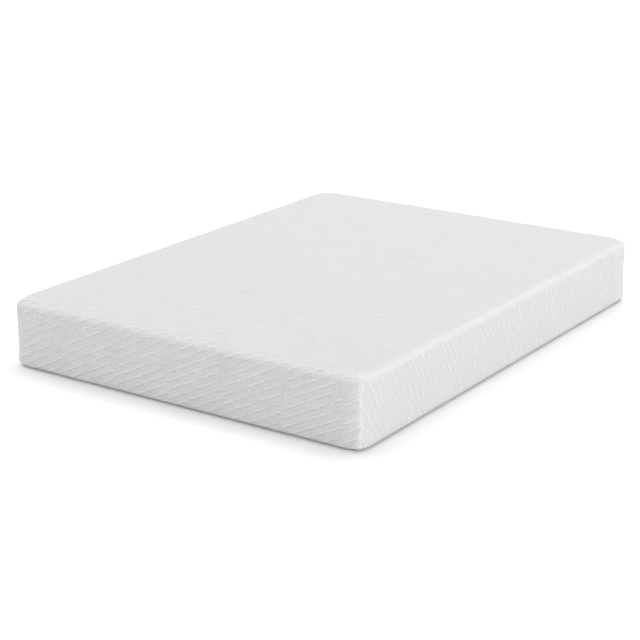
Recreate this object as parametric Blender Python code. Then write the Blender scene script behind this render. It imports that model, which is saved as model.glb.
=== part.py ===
"""A queen-size memory foam mattress: three foam layers in a flame barrier sock and a zipped knit cover.

Metres, +Z up. The origin is the middle of the underside. The foot end is at -Y and the head end, with the
cover's zip and labels, at +Y. Soft pieces are drawn as they lie in the closed cover, with rounded edges.
"""

import math

import bmesh
import bpy
from mathutils import Vector

MM = 0.001

# The mattress
WIDTH = 1524 * MM
LENGTH = 2032 * MM
HEIGHT = 254 * MM
PLAN_RADIUS = 56 * MM
TOP_RADIUS = 30 * MM
BOTTOM_RADIUS = 28 * MM
CORNER_STEPS = 7
EDGE_STEPS = 5

# Cloth and clearances
COVER_THICKNESS = 3 * MM
SOCK_THICKNESS = 1.2 * MM
TOUCH_GAP = 0.3 * MM
CLOTH_GAP = 0.4 * MM
SOCK_MOUTH = 0.8 * MM
SOCK_MOUTH_MARGIN = 70 * MM

# Foam, from the top down; the support core takes what is left
MEMORY_LAYER = 76.2 * MM
TRANSITION_LAYER = 50.8 * MM
CHANNEL_WIDTH = 12 * MM
CHANNEL_DEPTH = 15 * MM
CHANNEL_PITCH = 120 * MM
CHANNEL_COUNT = 16

# The zip, across the head end
ZIP_LEVEL = 42 * MM
ZIP_OPENING = 1360 * MM
ZIP_SLOT_HEIGHT = 14 * MM
TAPE_LENGTH = 1390 * MM
TAPE_WIDTH = 15 * MM
TAPE_THICKNESS = 1 * MM
COIL_LENGTH = 1336 * MM
COIL_WIDTH = 2.4 * MM
COIL_THICKNESS = 1.8 * MM
STOP_LENGTH = 3.5 * MM
STOP_WIDTH = 3.2 * MM
STOP_THICKNESS = 2 * MM
HEAD_SETBACK = TAPE_THICKNESS + 3 * TOUCH_GAP

# The slider, parked at the closed end of the zip (+X), and its pull
SLIDER_LENGTH = 14 * MM
SLIDER_WIDTH = 9.6 * MM
SLIDER_WING = 1.6 * MM
SLIDER_RAIL = 1.5 * MM
SLIDER_CLEARANCE = 0.4 * MM
SLIDER_TRAVEL = 1308 * MM
BRIDGE_LENGTH = 10.4 * MM
BRIDGE_WIDTH = 2 * MM
BRIDGE_LEG = 1.4 * MM
BRIDGE_RISE = 1.9 * MM
BRIDGE_BEAM = 1.2 * MM
PULL_THICKNESS = 1 * MM
PULL_LENGTH = 26 * MM
PULL_NECK_WIDTH = 6 * MM
PULL_END_WIDTH = 7.5 * MM
PULL_EYE_LENGTH = 6.2 * MM
PULL_EYE_WIDTH = 3.2 * MM
PULL_END_STEPS = 8

# The labels, hanging from their top edges on the head end
LABEL_THICKNESS = 0.5 * MM
LABEL_TOP = 188 * MM
LAW_LABEL = (75 * MM, 115 * MM)
FLAMMABILITY_LABEL = (55 * MM, 82 * MM)
LAW_LABEL_X = 330 * MM
FLAMMABILITY_LABEL_X = 415 * MM

HEAD_FACE = LENGTH / 2
HEAD_WALL_INSIDE = HEAD_FACE - COVER_THICKNESS
TAPE_FACE = HEAD_WALL_INSIDE - TOUCH_GAP
COIL_BACK = TAPE_FACE + TOUCH_GAP
COIL_TOP = COIL_BACK + COIL_THICKNESS

SOCK_DEPTH = COVER_THICKNESS + CLOTH_GAP
FOAM_DEPTH = SOCK_DEPTH + SOCK_THICKNESS + CLOTH_GAP


# ---------------------------------------------------------------- scene and materials

def clear_scene():
    for item in list(bpy.data.objects):
        bpy.data.objects.remove(item)


def material(name, colour, roughness, metallic=0.0):
    made = bpy.data.materials.new(name)
    made.use_nodes = True
    shader = made.node_tree.nodes["Principled BSDF"]
    shader.inputs["Base Color"].default_value = (*colour, 1.0)
    shader.inputs["Roughness"].default_value = roughness
    shader.inputs["Metallic"].default_value = metallic
    return made


def add_object(name, mesh_edit, finish=None):
    """A new object at the origin from a bmesh, with its faces turned outwards."""
    bmesh.ops.recalc_face_normals(mesh_edit, faces=mesh_edit.faces)
    mesh = bpy.data.meshes.new(name)
    mesh_edit.to_mesh(mesh)
    mesh_edit.free()
    made = bpy.data.objects.new(name, mesh)
    bpy.context.scene.collection.objects.link(made)
    if finish:
        mesh.materials.append(finish)
    return made


def smooth(made, degrees=40):
    made.data.shade_smooth()
    made.data.set_sharp_from_angle(angle=math.radians(degrees))


def set_origin(made, place):
    """Moves the object's origin to a point of its joint's axis, and leaves its shape where it is."""
    shift = Vector(place)
    for vertex in made.data.vertices:
        vertex.co -= shift
    made.location = shift


def cut(made, cutter, operation="DIFFERENCE"):
    """Cuts made with a cutter object, or joins it on, and keeps the cutter as a wire guide."""
    cutter.hide_render = True
    cutter.display_type = "WIRE"
    boolean = made.modifiers.new(cutter.name, "BOOLEAN")
    boolean.operation = operation
    boolean.solver = "EXACT"
    boolean.object = cutter


# ---------------------------------------------------------------- solids

def outline_ring(inset, level, head_setback=0.0):
    """The mattress outline drawn `inset` inside its sides, at height level, counter-clockwise from +X."""
    radius = PLAN_RADIUS - inset
    right = WIDTH / 2 - inset - radius
    head = LENGTH / 2 - inset - head_setback - radius
    foot = -LENGTH / 2 + inset + radius
    centres = ((right, head), (-right, head), (-right, foot), (right, foot))
    points = []
    for quarter, (x, y) in enumerate(centres):
        for step in range(CORNER_STEPS + 1):
            angle = math.pi / 2 * (quarter + step / CORNER_STEPS)
            points.append((x + radius * math.cos(angle), y + radius * math.sin(angle), level))
    return points


def lower_edge(depth):
    """(inset, level) up the rounded lower edge of a surface `depth` inside the cover's outside."""
    radius = BOTTOM_RADIUS - depth
    steps = [math.pi / 2 * (1 - step / EDGE_STEPS) for step in range(EDGE_STEPS + 1)]
    return [(depth + radius * (1 - math.cos(a)), BOTTOM_RADIUS - radius * math.sin(a)) for a in steps]


def upper_edge(depth):
    """(inset, level) up the rounded top edge of a surface `depth` inside the cover's outside."""
    radius = TOP_RADIUS - depth
    steps = [math.pi / 2 * step / EDGE_STEPS for step in range(EDGE_STEPS + 1)]
    top = HEIGHT - TOP_RADIUS
    return [(depth + radius * (1 - math.cos(a)), top + radius * math.sin(a)) for a in steps]


def rings_through(section, head_setback=0.0):
    return [outline_ring(inset, level, head_setback) for inset, level in section]


def loft(name, rings, finish=None):
    """A solid through rings of the same number of points, closed by a face on the first and the last."""
    edit = bmesh.new()
    levels = [[edit.verts.new(point) for point in ring] for ring in rings]
    for low, high in zip(levels, levels[1:]):
        for index in range(len(low)):
            after = (index + 1) % len(low)
            edit.faces.new((low[index], low[after], high[after], high[index]))
    edit.faces.new(levels[0])
    edit.faces.new(levels[-1])
    made = add_object(name, edit, finish)
    smooth(made)
    return made


def box_mesh(low, high):
    edit = bmesh.new()
    bmesh.ops.create_cube(edit, size=1)
    for vertex in edit.verts:
        vertex.co = [(b + a) / 2 + c * (b - a) for a, b, c in zip(low, high, vertex.co)]
    return edit


def box(name, low, high, finish=None):
    return add_object(name, box_mesh(low, high), finish)


def centred_box(name, centre_x, length, y_range, z_range, finish=None):
    low = (centre_x - length / 2, y_range[0], z_range[0])
    high = (centre_x + length / 2, y_range[1], z_range[1])
    return box(name, low, high, finish)


def prism(name, points, along, finish=None):
    """A flat outline pushed along a vector into a solid."""
    edit = bmesh.new()
    face = edit.faces.new([edit.verts.new(point) for point in points])
    pushed = bmesh.ops.extrude_face_region(edit, geom=[face])
    moved = [item for item in pushed["geom"] if isinstance(item, bmesh.types.BMVert)]
    bmesh.ops.translate(edit, verts=moved, vec=Vector(along))
    return add_object(name, edit, finish)


# ---------------------------------------------------------------- cover, sock and foam

def make_cover():
    knit = material("cover_knit", (0.80, 0.80, 0.79), 0.85)
    outside = lower_edge(0.0) + upper_edge(0.0)
    inside = lower_edge(COVER_THICKNESS) + upper_edge(COVER_THICKNESS)
    rings = rings_through(reversed(outside)) + rings_through(inside)
    shell = loft("cover_shell", rings, knit)
    slot = centred_box(
        "zip_slot_cutter", 0.0, ZIP_OPENING,
        (HEAD_WALL_INSIDE - TAPE_THICKNESS, HEAD_FACE + TAPE_THICKNESS),
        (ZIP_LEVEL - ZIP_SLOT_HEIGHT / 2, ZIP_LEVEL + ZIP_SLOT_HEIGHT / 2),
    )
    cut(shell, slot)

    plain = material("base_knit", (0.72, 0.72, 0.71), 0.9)
    edge = BOTTOM_RADIUS + TOUCH_GAP
    loft("cover_base", rings_through([(edge, 0.0), (edge, COVER_THICKNESS)]), plain)


def make_sock():
    barrier = material("barrier_knit", (0.83, 0.80, 0.72), 0.95)
    inside_depth = SOCK_DEPTH + SOCK_THICKNESS
    outside = lower_edge(SOCK_DEPTH) + upper_edge(SOCK_DEPTH)
    inside = lower_edge(inside_depth) + upper_edge(inside_depth)
    sock = loft("fire_sock", rings_through(outside, HEAD_SETBACK), barrier)
    hollow = loft("sock_hollow_cutter", rings_through(inside, HEAD_SETBACK))
    cut(sock, hollow)
    mouth = centred_box(
        "sock_mouth_cutter", 0.0, WIDTH - 2 * (PLAN_RADIUS + SOCK_MOUTH_MARGIN),
        (HEAD_FACE - 3 * FOAM_DEPTH, HEAD_FACE),
        ((HEIGHT - SOCK_MOUTH) / 2, (HEIGHT + SOCK_MOUTH) / 2),
    )
    cut(sock, mouth)


def make_foam():
    top = HEIGHT - FOAM_DEPTH
    memory_low = top - MEMORY_LAYER
    transition_high = memory_low - TOUCH_GAP
    transition_low = transition_high - TRANSITION_LAYER
    core_high = transition_low - TOUCH_GAP

    slow_foam = material("memory_foam", (0.86, 0.84, 0.76), 0.95)
    soft_foam = material("transition_foam", (0.62, 0.72, 0.80), 0.95)
    firm_foam = material("support_foam", (0.84, 0.84, 0.82), 0.95)

    memory = [(FOAM_DEPTH, memory_low)] + upper_edge(FOAM_DEPTH)
    loft("memory_foam_layer", rings_through(memory, HEAD_SETBACK), slow_foam)

    slab = [(FOAM_DEPTH, transition_low), (FOAM_DEPTH, transition_high)]
    transition = loft("transition_foam_layer", rings_through(slab, HEAD_SETBACK), soft_foam)
    channels = bmesh.new()
    for index in range(CHANNEL_COUNT):
        centre = (index - (CHANNEL_COUNT - 1) / 2) * CHANNEL_PITCH
        cube = bmesh.ops.create_cube(channels, size=1)
        for vertex in cube["verts"]:
            x, y, z = vertex.co
            vertex.co = (x * 2 * WIDTH, centre + y * CHANNEL_WIDTH, transition_low + z * 2 * CHANNEL_DEPTH)
    cut(transition, add_object("channel_cutter", channels))

    core = lower_edge(FOAM_DEPTH) + [(FOAM_DEPTH, core_high)]
    loft("support_foam_core", rings_through(core, HEAD_SETBACK), firm_foam)


# ---------------------------------------------------------------- zip

def make_zip_chain():
    """Both tapes behind the slot in the head wall, and the coil halves on them, meeting at ZIP_LEVEL."""
    tape = material("zip_tape", (0.78, 0.78, 0.77), 0.8)
    coil = material("zip_coil", (0.82, 0.82, 0.81), 0.45)
    metal = material("zip_metal", (0.55, 0.56, 0.57), 0.3, 1.0)
    half_gap = TOUCH_GAP / 2
    stop_y = (COIL_BACK, COIL_BACK + STOP_THICKNESS)
    stop_x = COIL_LENGTH / 2 + TOUCH_GAP + STOP_LENGTH / 2

    for side, sign in (("upper", 1), ("lower", -1)):
        def band(width):
            edges = (ZIP_LEVEL + sign * half_gap, ZIP_LEVEL + sign * (half_gap + width))
            return (min(edges), max(edges))

        tape_y = (TAPE_FACE - TAPE_THICKNESS, TAPE_FACE)
        centred_box(f"zip_tape_{side}", 0.0, TAPE_LENGTH, tape_y, band(TAPE_WIDTH), tape)
        rod = centred_box(f"zip_coil_{side}", 0.0, COIL_LENGTH, (COIL_BACK, COIL_TOP), band(COIL_WIDTH), coil)
        round_edges(rod, 0.5 * MM)
        clip = centred_box(f"zip_top_stop_{side}", stop_x, STOP_LENGTH, stop_y, band(STOP_WIDTH), metal)
        round_edges(clip, 0.4 * MM)

    clamp_z = (ZIP_LEVEL - STOP_WIDTH, ZIP_LEVEL + STOP_WIDTH)
    clamp = centred_box("zip_bottom_stop", -stop_x, STOP_LENGTH, stop_y, clamp_z, metal)
    round_edges(clamp, 0.4 * MM)
    return metal


def round_edges(made, width):
    bevel = made.modifiers.new("rounded_edges", "BEVEL")
    bevel.width = width
    bevel.segments = 2
    bevel.limit_method = "ANGLE"


def make_slider(metal):
    """A channel over both coils with a bridge on its back. It slides along X.

    Gives the x and y of the middle of the window under the bridge, where the pull hinges.
    """
    x = SLIDER_TRAVEL / 2
    wing_low = COIL_TOP + SLIDER_CLEARANCE
    wing_top = wing_low + SLIDER_WING
    rail_foot = TAPE_FACE + SLIDER_CLEARANCE
    outer = SLIDER_WIDTH / 2
    inner = outer - SLIDER_RAIL
    start = x - SLIDER_LENGTH / 2
    channel = (
        (outer, rail_foot), (outer, wing_top), (-outer, wing_top), (-outer, rail_foot),
        (-inner, rail_foot), (-inner, wing_low), (inner, wing_low), (inner, rail_foot),
    )
    points = [(start, y, ZIP_LEVEL + z) for z, y in channel]
    slider = prism("zip_slider", points, (SLIDER_LENGTH, 0, 0), metal)

    half = BRIDGE_LENGTH / 2
    leg = half - BRIDGE_LEG
    root = wing_top - 0.5 * SLIDER_WING
    crown = wing_top + BRIDGE_RISE
    arch = (
        (-half, root), (-half, crown), (-half + BRIDGE_BEAM, crown + BRIDGE_BEAM),
        (half - BRIDGE_BEAM, crown + BRIDGE_BEAM), (half, crown), (half, root),
        (leg, root), (leg, crown), (-leg, crown), (-leg, root),
    )
    points = [(x + along, y, ZIP_LEVEL - BRIDGE_WIDTH / 2) for along, y in arch]
    bridge = prism("slider_bridge_guide", points, (0, 0, BRIDGE_WIDTH))
    cut(slider, bridge, "UNION")
    set_origin(slider, (x, wing_top, ZIP_LEVEL))
    return x, (wing_top + crown) / 2


def make_pull(metal, hinge_x, hinge_y):
    """A flat tab lying along the zip. The bar across its eye is the hinge, under the slider's bridge."""
    bar = PULL_THICKNESS / 2
    neck = PULL_NECK_WIDTH / 2
    end = PULL_END_WIDTH / 2
    outline = [(bar, -neck), (bar, neck), (-PULL_EYE_LENGTH - 2 * bar, neck)]
    centre = -(PULL_LENGTH - end)
    for step in range(PULL_END_STEPS + 1):
        angle = math.pi / 2 + math.pi * step / PULL_END_STEPS
        outline.append((centre + end * math.cos(angle), end * math.sin(angle)))
    outline.append((-PULL_EYE_LENGTH - 2 * bar, -neck))
    low = hinge_y - PULL_THICKNESS / 2
    points = [(hinge_x + along, low, ZIP_LEVEL + across) for along, across in outline]
    pull = prism("zip_pull", points, (0, PULL_THICKNESS, 0), metal)
    eye = centred_box(
        "pull_eye_cutter", hinge_x - bar - PULL_EYE_LENGTH / 2, PULL_EYE_LENGTH,
        (low - PULL_THICKNESS, low + 2 * PULL_THICKNESS),
        (ZIP_LEVEL - PULL_EYE_WIDTH / 2, ZIP_LEVEL + PULL_EYE_WIDTH / 2),
    )
    cut(pull, eye)
    set_origin(pull, (hinge_x, hinge_y, ZIP_LEVEL))


# ---------------------------------------------------------------- labels

def make_labels():
    paper = material("label_cloth", (0.86, 0.86, 0.85), 0.7)
    near = HEAD_FACE + TOUCH_GAP
    labels = (
        ("law_label", LAW_LABEL_X, LAW_LABEL),
        ("flammability_label", FLAMMABILITY_LABEL_X, FLAMMABILITY_LABEL),
    )
    for name, x, (width, drop) in labels:
        depth = (near, near + LABEL_THICKNESS)
        label = centred_box(name, x, width, depth, (LABEL_TOP - drop, LABEL_TOP), paper)
        set_origin(label, (x, near + LABEL_THICKNESS / 2, LABEL_TOP))


def main():
    clear_scene()
    make_cover()
    make_sock()
    make_foam()
    metal = make_zip_chain()
    hinge_x, hinge_y = make_slider(metal)
    make_pull(metal, hinge_x, hinge_y)
    make_labels()


main()
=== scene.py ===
"""The looks of a queen memory foam mattress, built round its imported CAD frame."""

from math import cos, hypot, pi, radians, sin, sqrt, tan

import bpy
import numpy as np
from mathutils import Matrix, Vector


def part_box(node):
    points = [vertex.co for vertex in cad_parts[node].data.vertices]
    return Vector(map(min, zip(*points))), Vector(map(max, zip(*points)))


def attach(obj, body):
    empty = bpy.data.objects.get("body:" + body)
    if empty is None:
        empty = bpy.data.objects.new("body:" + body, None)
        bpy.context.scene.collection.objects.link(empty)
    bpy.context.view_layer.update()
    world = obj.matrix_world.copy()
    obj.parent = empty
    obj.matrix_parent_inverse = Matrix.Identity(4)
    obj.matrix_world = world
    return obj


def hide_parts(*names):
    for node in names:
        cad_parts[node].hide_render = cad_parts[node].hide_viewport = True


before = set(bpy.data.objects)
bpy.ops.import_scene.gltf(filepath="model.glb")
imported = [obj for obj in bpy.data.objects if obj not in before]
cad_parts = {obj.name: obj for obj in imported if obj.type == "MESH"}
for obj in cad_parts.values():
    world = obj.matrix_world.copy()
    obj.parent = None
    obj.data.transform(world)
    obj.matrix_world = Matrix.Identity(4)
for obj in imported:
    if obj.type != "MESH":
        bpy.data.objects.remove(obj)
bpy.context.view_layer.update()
MM = 0.001
TURN = 2 * pi

# ---- places and sizes, from the frame

HALF_WIDTH, HALF_LENGTH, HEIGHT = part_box("cover_shell")[1]
BASE_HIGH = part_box("cover_base")[1]

# The zip: the level where its halves meet, and the slot that shows it in the head end
ZIP_LEVEL = (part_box("zip_coil_upper")[0].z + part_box("zip_coil_lower")[1].z) / 2
SLOT_HALF_LENGTH = 680 * MM
SLOT_HALF_HEIGHT = 7 * MM

# The cover's section
EDGE_TOP = 30 * MM
EDGE_BOTTOM = 28 * MM
WALL_BULGE = 2.0 * MM
TOP_CROWN = 3.0 * MM
HEAD_SETBACK = 1.9 * MM

# Where the head end lies back on its CAD face, for the zip and labels: how far from a seam and up the cloth
# it begins and ends, how much of the lift it loses, and how far from the slot the cloth stays flat
BACK_FROM_SEAM = 60 * MM
BACK_FROM = (10 * MM, 30 * MM)
BACK_TO = (200 * MM, 245 * MM)
BACK_LIFT_LOST = 0.75
SLOT_FLAT = (9 * MM, 26 * MM)

# The corner seams: each wall eases in towards a narrow ridge, less so near the floor
RIDGE_INSET = 18.5 * MM
RIDGE_INSET_FLOOR = 12.5 * MM
RIDGE_FLOOR_REACH = 80 * MM
RIDGE_RADIUS = 8 * MM
RIDGE_EASE = radians(24)
# How far the painted highlight along each corner seam's ridge reaches
SEAM_HIGHLIGHT_REACH = 8 * MM
SEAM_GROOVE = 0.7 * MM
SEAM_GROOVE_WIDTH = 1.5 * MM
PUCKER_HEIGHT = 0.3 * MM
PUCKER_REACH = 10 * MM
PUCKER_PITCH = 9 * MM

# The hem seam under the mattress, which draws the cloth up off the floor
SEAM_LIFT = 1.4 * MM
SEAM_LIFT_REACH = 9 * MM
LIFT_FROM_HEM = 60 * MM

# Grid steps of the cover
GRID_ALONG_X = 4 * MM
GRID_ALONG_Y = 3.5 * MM
GRID_UP = 2.5 * MM

# The cloth's figure: diagonal rows of raised dashes over furrows, in columns across the bed, with patches of
# pebble between them. The relief is how strongly it shows on the top, the long sides and the ends, in the
# cloth's shape and in the painted highlight and shade of its colour.
COLUMN = 240 * MM
COLUMN_FADE = 6 * MM
COLUMN_START = -512 * MM
FIGURE_REPEAT = 246 * MM
PITCH = 32 * MM
SLANT = tan(radians(26.5))
DASH = 39 * MM
DASH_SWAY = 1.5 * MM
DASH_SHIFT = 0.37
RIDGE_HEIGHT = 2.2 * MM
RIDGE_UPPER = 3.6 * MM
RIDGE_LOWER = 1.9 * MM
FURROW_OFFSET = 4.4 * MM
FURROW_WIDTH = 2.2 * MM
FURROW_DEPTH = 0.45
PEBBLE = 11 * MM
PEBBLE_HEIGHT = 0.5 * MM
FIGURE_STRAIGHTENS = 70 * MM
FIGURE_FROM_SEAM = (3 * MM, 16 * MM)
FIGURE_FROM_HEM = (2 * MM, 30 * MM)
RELIEF_TOP = 0.62
RELIEF_LONG = 0.65
RELIEF_SHORT = 1.25

# The camera, beyond the foot end and to its right: turned from +X and lifted, in degrees
CAMERA_TURN = 34.2 - 90
CAMERA_HEIGHT = 18.09
CAMERA_DISTANCE = 6.217
CAMERA_TARGET = Vector((0.0868, -0.2578, 0.125))
CAMERA_LENS = 93.65

# Each soft light: the way it comes from, turned from +X, its height and spread in degrees, its strength
WORLD_LIGHT = 0.15
BACKDROP_LIGHT = 1.02
FLOOR_SIZE = 120
FLOOR_WHITE = (0.95, 0.95, 0.95, 1)
SOFT_LIGHTS = {
    "light_above": (120, 80, 60, 1.68),
    "light_key": (90, 68, 30, 0.30),
    "light_behind": (90, 30, 70, 0.50),
    "light_right": (5, 6, 24, 1.22),
    "light_left": (180, 30, 70, 1.09),
    "light_front": (-56, 12, 50, 1.37),
}

# A panel beyond the head end, which brightens the far part of the top
PANEL_PLACE = Vector((0, 3.0, 3.2))
PANEL_TARGET = Vector((0, 0.6, 0.25))
PANEL_SIZE = 2.5
PANEL_POWER = 12.0


# ---- camera, light and floor

def in_scene(name, data):
    made = bpy.data.objects.new(name, data)
    bpy.context.scene.collection.objects.link(made)
    return made


def direction(turn, height):
    """The way to something that is turned from +X and lifted from level, in degrees."""
    turn, height = radians(turn), radians(height)
    return Vector((cos(turn) * cos(height), sin(turn) * cos(height), sin(height)))


def aim(thing, way):
    """Turns the camera or a lamp to look along a way."""
    thing.rotation_mode = "QUATERNION"
    thing.rotation_quaternion = way.to_track_quat("-Z", "Y")


def make_camera():
    data = bpy.data.cameras.new("camera")
    data.lens = CAMERA_LENS
    data.clip_end = 200
    camera = in_scene("camera", data)
    back = direction(CAMERA_TURN, CAMERA_HEIGHT)
    camera.location = CAMERA_TARGET + back * CAMERA_DISTANCE
    aim(camera, -back)
    bpy.context.scene.camera = camera


def lamp(name, kind, way, **settings):
    data = bpy.data.lights.new(name, kind)
    for setting, value in settings.items():
        setattr(data, setting, value)
    made = in_scene(name, data)
    aim(made, way)
    return made


def make_studio():
    """An even white room: one background lights the object, and the camera sees a brighter one."""
    scene = bpy.context.scene
    scene.view_settings.view_transform = "Standard"
    scene.world = bpy.data.worlds.new("studio")
    scene.world.use_nodes = True
    tree = scene.world.node_tree
    ambient = tree.nodes["Background"]
    backdrop = tree.nodes.new("ShaderNodeBackground")
    for node, strength in ((ambient, WORLD_LIGHT), (backdrop, BACKDROP_LIGHT)):
        node.inputs["Color"].default_value = (1, 1, 1, 1)
        node.inputs["Strength"].default_value = strength
    path = tree.nodes.new("ShaderNodeLightPath")
    mix = tree.nodes.new("ShaderNodeMixShader")
    tree.links.new(path.outputs["Is Camera Ray"], mix.inputs["Fac"])
    tree.links.new(ambient.outputs[0], mix.inputs[1])
    tree.links.new(backdrop.outputs[0], mix.inputs[2])
    tree.links.new(mix.outputs[0], tree.nodes["World Output"].inputs["Surface"])
    for name, (turn, height, spread, strength) in SOFT_LIGHTS.items():
        lamp(name, "SUN", -direction(turn, height), angle=radians(spread), energy=strength)
    panel = lamp("light_panel", "AREA", PANEL_TARGET - PANEL_PLACE, size=PANEL_SIZE, energy=PANEL_POWER)
    panel.location = PANEL_PLACE

    bpy.ops.mesh.primitive_plane_add(size=FLOOR_SIZE, location=(0, 0, 0))
    floor = bpy.context.object
    floor.name = "floor"
    paper = Look("floor_paper", 1.0, 0.0, Base_Color=FLOOR_WHITE)
    floor.data.materials.append(paper.material)


# ---- node materials

def node_function(operation):
    return lambda field, *others: field.op(operation, *others)


class Field:
    """A number that varies over a surface: a node's socket, whose arithmetic adds Math nodes."""

    def __init__(self, look, socket):
        self.look = look
        self.socket = socket

    def op(self, operation, *others):
        node = self.look.add("Math", operation=operation)
        for socket, value in zip(node.inputs, (self, *others)):
            self.look.feed(socket, value)
        return Field(self.look, node.outputs[0])

    __add__ = __radd__ = node_function("ADD")
    __sub__ = node_function("SUBTRACT")
    __mul__ = __rmul__ = node_function("MULTIPLY")
    __truediv__ = node_function("DIVIDE")

    def __neg__(self):
        return self * -1.0

    def __rsub__(self, other):
        return -self + other


class Nodes:
    """numpy's names for the functions of a Field, so one formula shapes a mesh and a material alike."""

    floor = node_function("FLOOR")
    exp = node_function("EXPONENT")
    sin = node_function("SINE")
    abs = node_function("ABSOLUTE")
    minimum = node_function("MINIMUM")
    maximum = node_function("MAXIMUM")


class Look:
    """A node material in the making. Constants go straight on the shader's sockets."""

    def __init__(self, name, roughness, specular, **constants):
        constants.update(Roughness=roughness, Specular_IOR_Level=specular)
        self.material = bpy.data.materials.new(name)
        self.material.use_nodes = True
        self.tree = self.material.node_tree
        self.shader = self.tree.nodes["Principled BSDF"]
        for socket, value in constants.items():
            self.shader.inputs[socket.replace("_", " ")].default_value = value

    def feed(self, socket, value):
        if isinstance(value, Field):
            value = value.socket
        if isinstance(value, bpy.types.NodeSocket):
            self.tree.links.new(value, socket)
        else:
            socket.default_value = value

    def add(self, kind, inputs=None, **settings):
        node = self.tree.nodes.new("ShaderNode" + kind)
        for setting, value in settings.items():
            setattr(node, setting, value)
        for socket, value in (inputs or {}).items():
            self.feed(node.inputs[socket], value)
        return node

    def parts(self, vector):
        split = self.add("SeparateXYZ", {0: vector})
        return [Field(self, output) for output in split.outputs]

    def cloth(self):
        """Metres along the cloth, from the piece's own UV map: together and one by one."""
        vector = self.add("UVMap", uv_map="cloth").outputs["UV"]
        return vector, *self.parts(vector)[:2]

    def place(self):
        """Metres in the object's own space."""
        return self.add("TexCoord").outputs["Object"]

    def noise(self, vector, size, detail=2.0, stretch=(1, 1, 1)):
        """Noise from 0 to 1 with features of about a size in millimetres, longer where stretch is larger."""
        scale = tuple(1.0 / s for s in stretch)
        mapped = self.add("Mapping", {"Vector": vector, "Scale": scale}).outputs[0]
        node = self.add("TexNoise", {"Vector": mapped, "Scale": 1.0 / (size * MM), "Detail": detail})
        return Field(self, node.outputs[0])

    def cells(self, vector, size):
        node = self.add("TexVoronoi", {"Vector": vector, "Scale": 1.0 / size})
        return Field(self, node.outputs["Distance"])

    def tint(self, amount, dark, light):
        """Base colour from dark to light as amount goes from 0 to 1."""
        mix = self.add("Mix", data_type="RGBA")
        self.feed(mix.inputs["Factor"], amount)
        mix.inputs[6].default_value = (*dark, 1)
        mix.inputs[7].default_value = (*light, 1)
        self.tree.links.new(mix.outputs[2], self.shader.inputs["Base Color"])

    def rough(self, amount):
        self.feed(self.shader.inputs["Roughness"], amount)

    def bump(self, height):
        """A fine relief in metres."""
        node = self.add("Bump", {"Distance": 1.0, "Height": height})
        self.feed(self.shader.inputs["Normal"], node.outputs[0])


def steps(x, low, high, kit=np):
    """A smooth step from 0 at low to 1 at high."""
    t = kit.minimum(kit.maximum((x - low) / (high - low), 0.0), 1.0)
    return t * t * (3.0 - 2.0 * t)


def diamonds(u, v, size, kit):
    """Bumps and dents in turn, set cornerwise, from -1 to 1."""
    return kit.sin((u + v) * (TURN / size)) * kit.sin((u - v) * (TURN / size))


def knit_figure(u, v, kit=np):
    """The jacquard's figure at cloth coordinates u (across the bed) and v (along it).

    Gives the raised dashes and the furrow under them, both from 0 to 1, and a pebble from -1 to 1. Sines
    whose steps have no common period make the dashes' heights uneven.
    """
    turn = (u - COLUMN_START) / COLUMN
    local = (turn - kit.floor(turn)) * COLUMN
    climb = (v - local * SLANT) / PITCH
    row = kit.floor(climb)
    stretch = hypot(1, SLANT)
    dash = local * (stretch / DASH) + row * DASH_SHIFT
    part = dash - kit.floor(dash)
    across = (climb - row - 0.5) * (PITCH / stretch) + (part - 0.5) * (2 * DASH_SWAY)
    above = kit.maximum(across, 0.0) / RIDGE_UPPER
    below = kit.minimum(across, 0.0) / RIDGE_LOWER
    crest = kit.exp(-(above * above + below * below))
    wave = kit.sin(v * (TURN / FIGURE_REPEAT) + 0.9)
    ends = steps(local, 0, COLUMN_FADE, kit) * steps(COLUMN - local, 0, COLUMN_FADE, kit)
    number = dash - part
    uneven = kit.sin(row * 2.399 + number * 4.17 + kit.floor(turn) * 1.9)
    tapered = steps(part, 0, 0.2, kit) * steps(1.0 - part, 0, 0.2, kit) * 0.7 + 0.3
    strength = tapered * (wave * 0.2 + 0.8) * (uneven * 0.28 + 0.72) * ends
    under = (across + FURROW_OFFSET) / FURROW_WIDTH
    furrow = kit.exp(-(under * under)) * strength
    patch = steps(kit.abs(local / COLUMN - 0.5), 0.30, 0.44, kit) * (0.62 - 0.38 * wave)
    return crest * strength, furrow, diamonds(u, v, PEBBLE, kit) * patch


def knit_loops(u, v, wale, course):
    """Rows of V-shaped stitches, from 0 to 1."""
    leg = Nodes.abs((u / wale - Nodes.floor(u / wale)) - 0.5)
    row = Nodes.sin((v / course + leg * 0.9) * TURN) * 0.5 + 0.5
    rib = Nodes.sin(leg * pi * 2) * 0.5 + 0.5
    return row * 0.55 + rib * 0.45


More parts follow.
